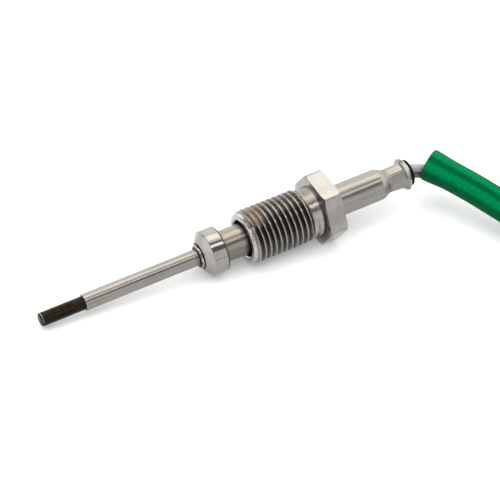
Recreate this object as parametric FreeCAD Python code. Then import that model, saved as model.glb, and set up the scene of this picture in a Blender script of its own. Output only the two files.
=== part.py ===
import FreeCAD, Part
import math
import os

# Exhaust gas temperature sensor, lying as it comes to rest on a table. All sizes are in millimetres.
# Each rigid piece is drawn about the probe's axis: x runs from the tip towards the cable, z is up.

# Dark tip and the element inside it
tip_length = 11.7            # what shows in front of the sheath
tip_radius = 1.75
tip_wall = 0.25
tip_end_round = 0.5
tip_insert = 3.0             # pushed into the sheath's mouth
chip_length = 3.5
chip_width = 2.4
chip_thickness = 0.7
chip_setback = 1.2           # from the cap's inner end
chip_lead_radius = 0.12
chip_lead_length = 5.0

# Metal sheath with two wires in packed mineral powder
sheath_wall = 0.35
sheath_tail = 11.0           # runs this far past the collar, inside the rear tube
core_wire_radius = 0.35
core_wire_tail = 19.0        # bare wire behind the sheath, up to the splice
seal_depth = 0.8
seal_proud = 0.5
pair_offset = 1.08           # of each wire of the pair from the axis
pair_turn = 90.0             # degrees, the pair's plane from level

# Welded collar with its sealing cone
probe_reach = 42.6           # tip to collar
lip_radius = 3.4
lip_length = 1.1
lip_groove = 0.25
cone_front_radius = 3.65
cone_length = 1.5
rim_radius = 5.85
rim_length = 3.8
rim_edge = 0.12
collar_socket = 2.2          # depth of the rear tube's seat

# Rear tube, squeezed onto the grommet by eight jaws
tube_radius = 4.1
tube_wall = 0.5
tube_plain_length = 45.7     # collar to crimp
crimp_taper = 2.6
shoulder_length = 1.6        # of the taper, gently rounded before it falls to the flats
shoulder_drop = 0.3
crimp_length = 3.7
crimp_flat = 3.05            # axis to each flat
crimp_jaws = 8
flare_length = 1.4
flare_radius = 4.05
flare_land = 0.15

# Inside the rear tube
separator_front_gap = 2.5    # behind the sheath
separator_length = 13.0
ferrule_length = 6.0
ferrule_radius = 0.85
splice_sleeve_wall = 0.16
splice_sleeve_overhang = 0.4
conductor_radius = 0.45
conductor_bare = 3.5         # lead wire stripped for the splice
lead_radius = 1.05
grommet_front = 1.5          # reaches this far in front of the crimp
grommet_rim_radius = 3.42
grommet_rim = 1.3

# Loose union nut: M14 x 1.5 shank, 17 mm hexagon
nut_gap = 6.6                # collar to nut
thread_radius = 7.0
nut_front_radius = 6.2
thread_lead_in = 1.4
thread_length = 14.6         # full thread
thread_run_out = 1.9
neck_radius = 6.2
neck_length = 2.4
hex_flats = 16.75            # for a 17 mm spanner
hex_height = 4.8
hex_chamfer_radius = 9.2
hex_chamfer_angle = 30.0
hex_corner_round = 0.6
nut_mouth_radius = 5.35
nut_mouth_depth = 13.0
nut_guide_clearance = 0.3

# Cable: points chosen by hand, sideways from the grommet's mouth, heights from the table
sleeve_radius = 3.85
sleeve_wall = 0.5
sleeve_mouth_depth = 7.5
lead_anchor = 2.5            # the wires' route starts this far inside the grommet
lead_free_run = 1.3          # straight out of the grommet to the first bend
lead_route = [(5.3, -0.8, 9.35), (10.65, -6.4, 9.2)]
lead_route_turns = [(0.1, 0.05, 0.99), (0.0, 0.0, 1.0)]
cable_route = [
    (6.48, 0.0, 10.45),
    (11.8, -8.45, 9.7),
    (16.95, -18.0, 8.3),
    (22.75, -28.0, 6.5),
    (30.05, -39.6, 4.85),
    (38.45, -50.6, 4.65),
]
coil_radius = 40.0           # at the middle of its turns
coil_entry_turn = 217.4      # degrees round the coil, where the cable joins it
coil_turns_high = 2
coil_lift = 0.8              # room under the coil for its tie
tie_width = 5.0
tie_thickness = 0.6
tie_clearance = 0.15
tie_head_length = 4.6
tie_head_height = 3.4

# Two-way connector, lying inside the coil and facing -Y
tail_route = [(0.6, 40.0, 12.35), (-7.4, 39.2, 11.7), (-12.7, 33.2, 9.8)]
tail_turns = [(0.0, -1.1), (0.55, -1.0), (1.5, -0.35)]
tail_approach = 4.2          # straight run into the connector, in front of its rear face and behind it
connector_offset = (-13.0, 21.0)   # rear face from the coil's centre
connector_length = 34.0
connector_width = 17.0
connector_height = 14.6
connector_corner = 3.5
shroud_depth = 17.0
shroud_wall = 1.5
stop_band_length = 2.4
stop_band_proud = 0.8
latch_length = 4.0
latch_width = 5.0
latch_height = 1.4
contact_offset = 2.3
seal_radius = 1.75
seal_pocket = 7.0
seal_length = 5.8
seal_rib_depth = 0.25
seal_ribs = 3
barrel_radius = 0.95
barrel_length = 5.0
barrel_floor = 1.0
blade_width = 2.4
blade_thickness = 0.8
blade_reach = 12.0           # into the shroud

# Clearances
fit_gap = 0.02               # between pieces that are pushed or moulded together
cut_margin = 1.0             # how far a cutter passes the face that it opens

# Stations along the axis
cap_end = tip_length + tip_insert
sheath_bore = tip_radius + fit_gap
sheath_radius = sheath_bore + sheath_wall
lip_end = probe_reach + lip_length
rim_front = lip_end + cone_length
rim_rear = rim_front + rim_length
socket_floor = rim_rear - collar_socket
sheath_end = rim_rear + sheath_tail
seal_front = sheath_end - seal_depth
crimp_front = rim_rear + tube_plain_length
crimp_start = crimp_front + crimp_taper
crimp_end = crimp_start + crimp_length
flare_start = crimp_end + flare_length
tube_end = flare_start + flare_land
grommet_end = tube_end + grommet_rim
separator_front = sheath_end + separator_front_gap
separator_end = separator_front + separator_length
splice = sheath_end + core_wire_tail
ferrule_front = splice - ferrule_length / 2
nut_front = rim_rear + nut_gap
thread_front = nut_front + thread_lead_in
thread_end = thread_front + thread_length
neck_front = thread_end + thread_run_out
hex_front = neck_front + neck_length
hex_rear = hex_front + hex_height
hex_corner_radius = hex_flats / 2 / math.cos(math.radians(30))
hex_slope = math.tan(math.radians(hex_chamfer_angle))

ORIGIN = FreeCAD.Vector(0, 0, 0)
X_AXIS = FreeCAD.Vector(1, 0, 0)
Y_AXIS = FreeCAD.Vector(0, 1, 0)
Z_AXIS = FreeCAD.Vector(0, 0, 1)


def turned(outline):
    """A solid turned about the axis. Each entry is a corner (x, radius) or an arc ((through), (end))."""
    def corner(p):
        return FreeCAD.Vector(p[0], 0, p[1])

    edges = []
    here = corner(outline[0])
    for step in outline[1:] + outline[:1]:
        if isinstance(step[0], tuple):
            through, end = corner(step[0]), corner(step[1])
            edges.append(Part.Arc(here, through, end).toShape())
        else:
            end = corner(step)
            edges.append(Part.LineSegment(here, end).toShape())
        here = end
    return Part.Face(Part.Wire(edges)).revolve(ORIGIN, X_AXIS, 360)


def rod(start, end, radius, y=0.0, z=0.0):
    """A round bar along the axis, from one station to another."""
    return Part.makeCylinder(radius, end - start, FreeCAD.Vector(start, y, z), X_AXIS)


def tube(start, end, radius, bore, y=0.0, z=0.0):
    hole = rod(start - cut_margin, end + cut_margin, bore, y, z)
    return rod(start, end, radius, y, z).cut(hole)


def pair_places():
    """Where the two wires of the pair run, as (y, z) beside the axis."""
    turn = math.radians(pair_turn)
    y, z = pair_offset * math.cos(turn), pair_offset * math.sin(turn)
    return [(y, z), (-y, -z)]


def paired(start, end, radius):
    return [rod(start, end, radius, y, z) for y, z in pair_places()]


def without(solid, cutters):
    for cutter in cutters:
        solid = solid.cut(cutter)
    return solid


def tip_cap():
    outer = turned([
        (0, 0),
        (0, tip_radius - tip_end_round),
        ((tip_end_round * (1 - math.sqrt(0.5)), tip_radius - tip_end_round * (1 - math.sqrt(0.5))),
         (tip_end_round, tip_radius)),
        (cap_end, tip_radius),
        (cap_end, 0),
    ])
    return outer.cut(rod(tip_wall, cap_end + cut_margin, tip_radius - tip_wall))


def chip_box(clearance):
    """The flat measuring chip, lying in the plane of the wire pair."""
    size = [side + 2 * clearance for side in (chip_length, chip_width, chip_thickness)]
    start = tip_wall + chip_setback - clearance
    chip = Part.makeBox(*size, FreeCAD.Vector(start, -size[1] / 2, -size[2] / 2))
    chip.rotate(ORIGIN, X_AXIS, pair_turn)
    return chip


def tip_filler(chip_rear, core_front):
    block = rod(tip_wall + fit_gap, cap_end, tip_radius - tip_wall - fit_gap)
    cutters = [chip_box(fit_gap)]
    cutters += paired(chip_rear, core_front, chip_lead_radius + fit_gap)
    cutters += paired(core_front, cap_end + cut_margin, core_wire_radius + fit_gap)
    return without(block, cutters)


def mineral_insulation():
    block = rod(cap_end, seal_front, sheath_bore - fit_gap)
    wires = paired(cap_end - cut_margin, seal_front + cut_margin, core_wire_radius + fit_gap)
    return without(block, wires)


def sheath_end_seal():
    bead = rod(seal_front, sheath_end + seal_proud, sheath_bore - fit_gap)
    wires = paired(seal_front - cut_margin, sheath_end + seal_proud + cut_margin, core_wire_radius + fit_gap)
    return without(bead, wires)


def seat_collar():
    """One turned piece: rounded weld lip, groove, sealing cone, rim, and the rear tube's seat."""
    bead_middle = probe_reach + lip_length * 0.3
    bead_height = sheath_radius + (lip_radius - sheath_radius) * 0.7
    groove_floor = lip_radius - lip_groove
    blank = turned([
        (probe_reach, 0),
        (probe_reach, sheath_radius + fit_gap),
        ((bead_middle, bead_height), (lip_end - lip_groove, lip_radius)),
        (lip_end - lip_groove / 2, groove_floor),
        (lip_end, cone_front_radius),
        (rim_front, rim_radius),
        (rim_rear - rim_edge, rim_radius),
        (rim_rear, rim_radius - rim_edge),
        (rim_rear, 0),
    ])
    bore = rod(probe_reach - cut_margin, rim_rear + cut_margin, sheath_radius + fit_gap)
    socket = rod(socket_floor, rim_rear + cut_margin, tube_radius + fit_gap)
    return blank.cut(bore).cut(socket)


def ring_of_arcs(x, radius):
    """A circle across the axis, split where the crimp's corners are."""
    edges = []
    for jaw in range(crimp_jaws):
        points = [spoke(x, radius, jaw + share) for share in (-0.5, 0.0, 0.5)]
        edges.append(Part.Arc(*points).toShape())
    return Part.Wire(edges)


def ring_of_flats(x, flat):
    """A regular polygon across the axis, one side for each jaw."""
    corner_radius = flat / math.cos(math.pi / crimp_jaws)
    corners = [spoke(x, corner_radius, jaw - 0.5) for jaw in range(crimp_jaws)]
    return Part.makePolygon(corners + corners[:1])


def spoke(x, radius, jaw):
    turn = 2 * math.pi * jaw / crimp_jaws
    return FreeCAD.Vector(x, radius * math.cos(turn), radius * math.sin(turn))


def crimped_body(start, inset, end):
    """The rear tube's outline, drawn in by an inset: round, eight-sided in the crimp, round in the flare."""
    straight = rod(start, crimp_front, tube_radius - inset)
    waist = Part.makeLoft([
        ring_of_arcs(crimp_front, tube_radius - inset),
        ring_of_arcs(crimp_front + shoulder_length, tube_radius - shoulder_drop - inset),
        ring_of_flats(crimp_start, crimp_flat - inset),
        ring_of_flats(crimp_end, crimp_flat - inset),
        ring_of_arcs(flare_start, flare_radius - inset),
    ], True, True)
    land = rod(flare_start, end, flare_radius - inset)
    return straight.fuse([waist, land]).removeSplitter()


def rear_tube():
    outside = crimped_body(socket_floor, 0, tube_end)
    inside = crimped_body(socket_floor - cut_margin, tube_wall, tube_end + cut_margin)
    return outside.cut(inside)


def rear_grommet():
    """Rubber plug, squeezed to the crimp's shape, with a rim outside the flare."""
    plug = crimped_body(crimp_front - grommet_front, tube_wall + fit_gap, tube_end)
    rim = rod(tube_end, grommet_end, grommet_rim_radius)
    holes = paired(crimp_front - grommet_front - cut_margin, grommet_end + cut_margin, lead_radius + fit_gap)
    return without(plug.fuse(rim).removeSplitter(), holes)


def wire_separator():
    block = rod(separator_front, separator_end, tube_radius - tube_wall - fit_gap)
    wires = paired(separator_front - cut_margin, separator_end + cut_margin, core_wire_radius + fit_gap)
    return without(block, wires)


def splice_ferrules():
    ends = ferrule_front, ferrule_front + ferrule_length
    return [tube(*ends, ferrule_radius, conductor_radius + fit_gap, y, z) for y, z in pair_places()]


def splice_sleeves():
    front = ferrule_front - splice_sleeve_overhang
    end = ferrule_front + ferrule_length + splice_sleeve_overhang
    bore = ferrule_radius + fit_gap
    return [tube(front, end, bore + splice_sleeve_wall, bore, y, z) for y, z in pair_places()]


def union_nut():
    """Hollow screw with a hexagon: plain shank at the thread's outside radius, stepped bore."""
    shank = turned([
        (nut_front, 0),
        (nut_front, nut_front_radius),
        (thread_front, thread_radius),
        (thread_end, thread_radius),
        (neck_front, neck_radius),
        (hex_rear, neck_radius),
        (hex_rear, 0),
    ])
    corners = []
    for side in range(6):
        turn = math.radians(60 * side)
        y, z = hex_corner_radius * math.cos(turn), hex_corner_radius * math.sin(turn)
        corners.append(FreeCAD.Vector(hex_front, y, z))
    prism = Part.Face(Part.makePolygon(corners + corners[:1])).extrude(X_AXIS * hex_height)
    long_edges = [e for e in prism.Edges if e.BoundBox.XLength > hex_height / 2]
    prism = prism.makeFillet(hex_corner_round, long_edges)
    past_corner = hex_corner_radius + cut_margin
    drop = (past_corner - hex_chamfer_radius) * hex_slope
    chamfers = turned([
        (hex_front, 0),
        (hex_front, hex_chamfer_radius),
        (hex_front + drop, past_corner),
        (hex_rear - drop, past_corner),
        (hex_rear, hex_chamfer_radius),
        (hex_rear, 0),
    ])
    guide_radius = tube_radius + nut_guide_clearance
    mouth_end = nut_front + nut_mouth_depth
    bore = turned([
        (nut_front - cut_margin, 0),
        (nut_front - cut_margin, nut_mouth_radius),
        (mouth_end, nut_mouth_radius),
        (mouth_end + nut_mouth_radius - guide_radius, guide_radius),
        (hex_rear + cut_margin, guide_radius),
        (hex_rear + cut_margin, 0),
    ])
    return shank.fuse(prism.common(chamfers)).cut(bore).removeSplitter()


def swept(route, radius):
    """A cord along straight runs joined by the largest tangent arcs that its points allow."""
    points = [FreeCAD.Vector(*p) for p in route]
    runs = [b - a for a, b in zip(points, points[1:])]
    edges, radii = [], []
    here = points[0]
    for point, before, after in zip(points[1:], runs, runs[1:]):
        turn = before.getAngle(after)
        trim = 0.45 * min(before.Length, after.Length)
        bend = trim / math.tan(turn / 2)
        radii.append(bend)
        start = point - before.normalize() * trim
        end = point + FreeCAD.Vector(after).normalize() * trim
        inward = (start + end) * 0.5 - point
        middle = point + inward.normalize() * (bend / math.cos(turn / 2) - bend)
        edges.append(Part.LineSegment(here, start).toShape())
        edges.append(Part.Arc(start, middle, end).toShape())
        here = end
    edges.append(Part.LineSegment(here, points[-1]).toShape())
    path = Part.Wire(edges)
    section = Part.Wire(Part.makeCircle(radius, points[0], points[1] - points[0]))
    cord = path.makePipeShell([section], True, True)
    share = cord.Volume / (math.pi * radius ** 2 * path.Length)
    bends = [round(r, 1) for r in radii]
    print("cord", round(path.Length, 1), "mm, bends", bends, "volume share", round(share, 4))
    return cord


def rest_tilt():
    """The tip hangs down by this angle when the thread's front and the hexagon's flat lie on the table."""
    flat_front = hex_front + max(0.0, hex_flats / 2 - hex_chamfer_radius) * hex_slope
    return math.degrees(math.atan((hex_flats / 2 - thread_radius) / (flat_front - thread_front)))


def laid_down(pieces):
    """Tips the probe into its rest, with the thread's front on z = 0, centred over the origin."""
    turn = math.radians(rest_tilt())
    lift = thread_radius * math.cos(turn) - thread_front * math.sin(turn)
    whole = Part.makeCompound([shape for shapes in pieces.values() for shape in shapes])
    whole.rotate(ORIGIN, Y_AXIS, -rest_tilt())
    box = whole.optimalBoundingBox(False, False)
    shift = FreeCAD.Vector(-box.Center.x, 0, lift)
    for shapes in pieces.values():
        for shape in shapes:
            shape.rotate(ORIGIN, Y_AXIS, -rest_tilt())
            shape.translate(shift)
    return FreeCAD.Placement(shift, FreeCAD.Rotation(Y_AXIS, -rest_tilt()))


def cable_start(rest):
    """The middle of the grommet's mouth, on the table's frame."""
    return rest.multVec(FreeCAD.Vector(grommet_end, 0, 0))


def on_table(route, start):
    return [(start.x + x, start.y + y, z) for x, y, z in route]


def lead_wires(rest):
    """Two insulated wires: stripped ends in the splices, through the grommet and into the cable's sleeve."""
    start = cable_start(rest)
    bare_end = splice + conductor_bare
    wires = []
    for side, (y, z) in zip((1, -1), pair_places()):
        bare = rod(splice, bare_end, conductor_radius, y, z)
        straight = rod(bare_end, grommet_end - lead_anchor, lead_radius, y, z)
        wire = bare.fuse(straight).removeSplitter()
        wire.Placement = rest.multiply(wire.Placement)
        ends = grommet_end - lead_anchor, grommet_end + lead_free_run
        bend = [tuple(rest.multVec(FreeCAD.Vector(x, y, z))) for x in ends]
        for point, turn in zip(on_table(lead_route, start), lead_route_turns):
            bend.append(tuple(p + side * pair_offset * t for p, t in zip(point, turn)))
        wires.append(wire.fuse(swept(bend, lead_radius)).removeSplitter())
    return wires


def cable_sleeve(route, wires):
    """Woven sleeve up to the coil, plain and round, with an open mouth for the two wires."""
    sleeve = swept(route, sleeve_radius)
    start, after = (FreeCAD.Vector(*p) for p in route[:2])
    along = (after - start).normalize()
    back = start - along * cut_margin
    mouth = Part.makeCylinder(sleeve_radius - sleeve_wall, sleeve_mouth_depth + cut_margin, back, along)
    return without(sleeve.cut(mouth), wires)


def coil_centre(route):
    turn = math.radians(coil_entry_turn)
    x, y, _ = route[-1]
    return FreeCAD.Vector(x - coil_radius * math.cos(turn), y - coil_radius * math.sin(turn), 0)


def upright_stadium(radius, place, low):
    """A round-ended section, one cord wide and two turns high, standing across the coil."""
    first = low + sleeve_radius
    last = first + 2 * sleeve_radius * (coil_turns_high - 1)
    out = X_AXIS * radius
    up = Z_AXIS * radius
    bottom, top = place + Z_AXIS * first, place + Z_AXIS * last
    return Part.Wire([
        Part.Arc(bottom - out, bottom - up, bottom + out).toShape(),
        Part.LineSegment(bottom + out, top + out).toShape(),
        Part.Arc(top + out, top + up, top - out).toShape(),
        Part.LineSegment(top - out, bottom - out).toShape(),
    ])


def cable_coil(centre):
    section = upright_stadium(sleeve_radius, centre + X_AXIS * coil_radius, coil_lift)
    return Part.Face(section).revolve(centre, Z_AXIS, 360)


def coil_tie(centre):
    """A strap round the turns, with its lock on the outer side."""
    bore = sleeve_radius + tie_clearance
    place = centre + X_AXIS * coil_radius - Y_AXIS * (tie_width / 2)
    outer = Part.Face(upright_stadium(bore + tie_thickness, place, coil_lift))
    inner = Part.Face(upright_stadium(bore, place, coil_lift))
    strap = outer.cut(inner).extrude(Y_AXIS * tie_width)
    corner = place + X_AXIS * (bore + tie_thickness / 2)
    corner.z = coil_lift + sleeve_radius * coil_turns_high - tie_head_length / 2
    head = Part.makeBox(tie_head_height, tie_width, tie_head_length, corner)
    return strap.fuse(head).removeSplitter()


def rounded_block(start, length, width, height, corner):
    """A block along x with rounded long edges, its section centred on the axis."""
    block = Part.makeBox(length, width, height, FreeCAD.Vector(start, -width / 2, -height / 2))
    return block.makeFillet(corner, [e for e in block.Edges if e.BoundBox.XLength > length / 2])


def contact_places():
    return [(contact_offset, 0.0), (-contact_offset, 0.0)]


def blade_box(clearance, y):
    web = connector_length - shroud_depth
    start = seal_pocket + barrel_length
    length = web + blade_reach - start
    width, thickness = blade_width + 2 * clearance, blade_thickness + 2 * clearance
    return Part.makeBox(length, width, thickness, FreeCAD.Vector(start, y - width / 2, -thickness / 2))


def connector_housing():
    """Moulded body with an open shroud round the blades, a stop band and a latch ramp."""
    web = connector_length - shroud_depth
    body = rounded_block(0, connector_length, connector_width, connector_height, connector_corner)
    wide = connector_width + 2 * stop_band_proud
    high = connector_height + 2 * stop_band_proud
    band_corner = connector_corner + stop_band_proud
    band = rounded_block(web - stop_band_length, stop_band_length, wide, high, band_corner)
    top = connector_height / 2
    ramp_start = (web + connector_length - latch_length) / 2
    ramp = Part.makePolygon([
        FreeCAD.Vector(ramp_start, -latch_width / 2, top - fit_gap),
        FreeCAD.Vector(ramp_start, -latch_width / 2, top + latch_height),
        FreeCAD.Vector(ramp_start + latch_length, -latch_width / 2, top - fit_gap),
        FreeCAD.Vector(ramp_start, -latch_width / 2, top - fit_gap),
    ])
    latch = Part.Face(ramp).extrude(Y_AXIS * latch_width)
    mouth = rounded_block(
        web, shroud_depth + cut_margin, connector_width - 2 * shroud_wall, connector_height - 2 * shroud_wall,
        connector_corner - shroud_wall,
    )
    housing = body.fuse([band, latch]).cut(mouth)
    for y, z in contact_places():
        housing = housing.cut(rod(-cut_margin, seal_pocket, seal_radius + fit_gap, y, z))
        barrel_end = seal_pocket + barrel_length
        housing = housing.cut(rod(seal_pocket - cut_margin, barrel_end, barrel_radius + fit_gap, y, z))
        housing = housing.cut(blade_box(fit_gap, y))
    return housing.removeSplitter()


def contact_pins():
    pins = []
    for y, z in contact_places():
        end = seal_pocket + barrel_length
        barrel = rod(seal_pocket, end, barrel_radius, y, z)
        bore = rod(seal_pocket - cut_margin, end - barrel_floor, conductor_radius + fit_gap, y, z)
        pins.append(barrel.fuse(blade_box(0, y)).cut(bore).removeSplitter())
    return pins


def wire_seals():
    """Ribbed rubber bushes round the wires, in the connector's rear pockets."""
    pitch = seal_length / seal_ribs
    start = seal_pocket - seal_length
    outline = [(start, 0), (start, seal_radius)]
    for rib in range(seal_ribs):
        end = start + pitch * (rib + 1)
        outline.append((end - pitch / 2, seal_radius))
        if rib < seal_ribs - 1:
            outline.append((end - pitch / 4, seal_radius - seal_rib_depth))
            outline.append((end, seal_radius))
    outline += [(seal_pocket, seal_radius - seal_rib_depth), (seal_pocket, 0)]
    seals = []
    for y, z in contact_places():
        bush = turned(outline).cut(rod(start - cut_margin, seal_pocket + cut_margin, lead_radius + fit_gap))
        bush.translate(FreeCAD.Vector(0, y, z))
        seals.append(bush)
    return seals


def connector_rest(centre):
    """Lies on its stop band inside the coil, mouth towards -Y."""
    height = connector_height / 2 + stop_band_proud
    place = centre + FreeCAD.Vector(connector_offset[0], connector_offset[1], height)
    return FreeCAD.Placement(place, FreeCAD.Rotation(Z_AXIS, -90))


def lead_tails(centre, connector):
    """The two wires from the sleeve's far end into the connector."""
    tails = []
    for side, (y, z) in zip((1, -1), contact_places()):
        bare = rod(seal_pocket, seal_pocket + barrel_length - barrel_floor, conductor_radius, y, z)
        straight = rod(tail_approach, seal_pocket, lead_radius, y, z)
        end = bare.fuse(straight).removeSplitter()
        end.Placement = connector.multiply(end.Placement)
        route = []
        for point, turn in zip(tail_route, tail_turns):
            beside = FreeCAD.Vector(side * turn[0], side * turn[1], 0)
            route.append(tuple(centre + FreeCAD.Vector(*point) + beside))
        route += [tuple(connector.multVec(FreeCAD.Vector(x, y, z))) for x in (-tail_approach, tail_approach)]
        tails.append(end.fuse(swept(route, lead_radius)).removeSplitter())
    return tails


def probe_pieces():
    chip_rear = tip_wall + chip_setback + chip_length
    core_front = chip_rear + chip_lead_length
    return {
        "tip_cap": [tip_cap()],
        "sensing_element": [chip_box(0)],
        "element_leads": paired(chip_rear, core_front, chip_lead_radius),
        "tip_filler": [tip_filler(chip_rear, core_front)],
        "probe_sheath": [tube(tip_length, sheath_end, sheath_radius, sheath_bore)],
        "mineral_insulation": [mineral_insulation()],
        "core_wires": paired(core_front, splice, core_wire_radius),
        "sheath_end_seal": [sheath_end_seal()],
        "seat_collar": [seat_collar()],
        "rear_tube": [rear_tube()],
        "wire_separator": [wire_separator()],
        "splice_ferrules": splice_ferrules(),
        "splice_sleeves": splice_sleeves(),
        "rear_grommet": [rear_grommet()],
        "union_nut": [union_nut()],
    }


def cable_pieces(rest):
    route = on_table(cable_route, cable_start(rest))
    centre = coil_centre(route)
    connector = connector_rest(centre)
    wires = lead_wires(rest)
    fixed = {
        "connector_housing": [connector_housing()],
        "contact_pins": contact_pins(),
        "wire_seals": wire_seals(),
    }
    for shapes in fixed.values():
        for shape in shapes:
            shape.Placement = connector.multiply(shape.Placement)
    return {
        "lead_wires": wires,
        "cable_sleeve": [cable_sleeve(route, wires)],
        "cable_coil": [cable_coil(centre)],
        "coil_tie": [coil_tie(centre)],
        "lead_tails": lead_tails(centre, connector),
        **fixed,
    }


def main():
    os.makedirs("parts", exist_ok=True)
    pieces = probe_pieces()
    rest = laid_down(pieces)
    pieces.update(cable_pieces(rest))
    for name, shapes in pieces.items():
        for shape in shapes:
            if not shape.isValid() or len(shape.Solids) != 1:
                print("check", name, shape.isValid(), len(shape.Solids))
        whole = shapes[0] if len(shapes) == 1 else Part.makeCompound(shapes)
        whole.exportStep(f"parts/{name}.step")
    start = cable_start(rest)
    print("rest tilt", round(rest_tilt(), 3), "cable leaves at", [round(c, 3) for c in start])


main()
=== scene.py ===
import math
import bmesh
import bpy
from mathutils import Matrix, Quaternion, Vector


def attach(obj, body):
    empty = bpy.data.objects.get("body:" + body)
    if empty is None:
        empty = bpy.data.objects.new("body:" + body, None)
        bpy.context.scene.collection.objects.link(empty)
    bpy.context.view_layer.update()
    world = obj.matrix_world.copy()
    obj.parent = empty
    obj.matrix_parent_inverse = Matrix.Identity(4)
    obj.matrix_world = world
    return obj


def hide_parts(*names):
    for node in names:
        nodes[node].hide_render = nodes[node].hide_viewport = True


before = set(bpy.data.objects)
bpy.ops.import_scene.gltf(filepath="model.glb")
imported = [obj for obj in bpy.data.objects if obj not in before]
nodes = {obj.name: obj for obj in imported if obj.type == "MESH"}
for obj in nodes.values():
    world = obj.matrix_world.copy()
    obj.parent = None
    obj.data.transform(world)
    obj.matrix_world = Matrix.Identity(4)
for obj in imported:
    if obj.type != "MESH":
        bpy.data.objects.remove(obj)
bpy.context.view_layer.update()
scene = bpy.context.scene

# The probe's pieces are drawn in millimetres about its axis, from the tip, and then laid down at rest.
TILT = math.radians(4.161013)
MOUTH = 103.85                                  # the grommet's end, along the axis
EXIT = Vector((51.71, 0.0, 10.381))             # the same point above the table
AXIS = Vector((math.cos(TILT), 0.0, math.sin(TILT)))
REST = (
    Matrix.Scale(0.001, 4)
    @ Matrix.Translation(EXIT - AXIS * MOUTH)
    @ Matrix.Rotation(-TILT, 4, "Y")
)

# Stations along the axis and radii: the solids' own, but for fine edges read off the photograph afterwards
TIP_END, CAP_END, SHEATH_END = 11.7, 14.7, 60.0
LIP_FRONT, LIP_END = 42.75, 43.5
RIM_FRONT, RIM_REAR, SOCKET = 45.2, 49.0, 46.8
NUT_FRONT, THREAD_FRONT, THREAD_END = 55.6, 57.0, 71.6
NECK_FRONT, HEX_FRONT, HEX_REAR = 73.5, 75.9, 80.7
BORE_END, GUIDE_FRONT = 68.6, 69.2              # of the nut's wide bore and of its narrow one
SHOULDER, CREASE, CRIMP_START, CRIMP_END = 94.2, 96.7, 97.3, 101.1
RIDGE, TUBE_END = 102.3, 102.95
GROMMET_FRONT, GROMMET_R = 102.5, 3.44          # its rim, which the tube's edge stays outside
TIP_R, TIP_WALL, TIP_ROUND = 1.75, 0.25, 0.5
SHEATH_R, SHEATH_BORE, SHEATH_ROUND = 2.12, 1.77, 0.08
GROOVE_FRONT, GROOVE_REAR = LIP_FRONT + 0.62, LIP_END - 0.07
GROOVE_R, CONE_R, RIM_R = 2.95, 3.36, 5.85
CONE_ROUND, RIM_FRONT_ROUND, RIM_REAR_ROUND = 0.04, 0.14, 0.1
FIT = 0.01                                      # between the collar and the two tubes in it
TUBE_R, TUBE_WALL, SQUEEZED_R = 4.1, 0.5, 3.06
JAWS, BLUNT = 8, 1.045                          # of the crimp, and its corners against its flats
CRIMP_FRONT_R, CRIMP_REAR_R, RIDGE_R, EDGE_R = 3.0, 3.25, 4.2, 3.7
PITCH, THREAD_R, FRONT_R = 1.5, 7.0, 6.2
FIRST_CREST = 0.35                              # how far in front of the nut a crest would start
NECK_R, NECK_REAR_R = 6.4, 6.6
NECK_RIBS = 0.07                                # share of the thread's depth that is left on the neck
FRONT_EDGE, FRONT_EDGE_R = NUT_FRONT + 0.08, FRONT_R - 0.1
MOUTH_R, MOUTH_CHAMFER, GUIDE_R = 4.85, 0.3, 4.4
HEX_FLAT, HEX_CORNER_R, CHAMFER_R, CHAMFER_ANGLE = 8.375, 9.56, 9.0, math.radians(30)

# The bead of the collar's lip: distance behind the lip's front, radius
BEAD = [(0.08, 2.5), (0.2, 2.86), (0.35, 3.12), (0.5, 3.22), (0.58, 3.14)]
# The tube's rounded end: distance in front of it, depth below the outside
TUBE_EDGE = [(0.04, 0.04), (0.0, 0.14), (0.0, 0.36), (0.06, 0.46)]
# One pitch of the thread, from crest to root: distance along it, radius
TOOTH = [
    (-0.03, 6.93), (0.02, 6.98), (0.1675, 6.98), (0.2175, 6.93),
    (0.70, 6.14), (0.76, 6.07), (0.93, 6.07), (0.99, 6.14),
]

# Vertices closer than this are one: for a piece drawn in millimetres, and in metres
MERGE_MM, MERGE_M = 0.0005, 1e-6
NEAR = 1e-4                                     # for finding a ring's vertices, in millimetres

# Across the probe, the direction that is up in the photograph. Painted shade, painted highlights and stains
# keep to one side of the metal by it.
UP_Y, UP_Z = 0.8, 0.6

# Colours of stains, of painted shade and painted highlights, and of the metal where it is rubbed bright
PAINTED_UNDER_SHADE, BROWN_DIRT_AND_SHADE, GRIME_AND_SHADE = (0.085, 0.078, 0.064), (0.06, 0.042, 0.028), (0.03, 0.024, 0.018)
PAINTED_CORNER_SHADE, CREST_STAIN = (0.05, 0.042, 0.035), (0.13, 0.12, 0.108)
GROOVE_SHADE, DEEP_GROOVE_SHADE = (0.1, 0.094, 0.088), (0.022, 0.018, 0.014)
PALE_RUST, DARK_RUST = (0.17, 0.145, 0.12), (0.028, 0.021, 0.015)
SCORCHED_CREST, SCORCHED_GROOVE = (0.15, 0.132, 0.108), (0.27, 0.228, 0.185)
PAINTED_FLARE_HIGHLIGHT, BRIGHT_CONE, BRIGHT_BEAD = (0.58, 0.57, 0.55), (0.31, 0.3, 0.285), (0.5, 0.49, 0.47)
PAINTED_UNDERSIDE_LIGHT, BRIGHT_LEAD_IN, PAINTED_TIP_HIGHLIGHT = (0.38, 0.37, 0.355), (0.42, 0.41, 0.39), (0.24, 0.225, 0.2)


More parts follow.
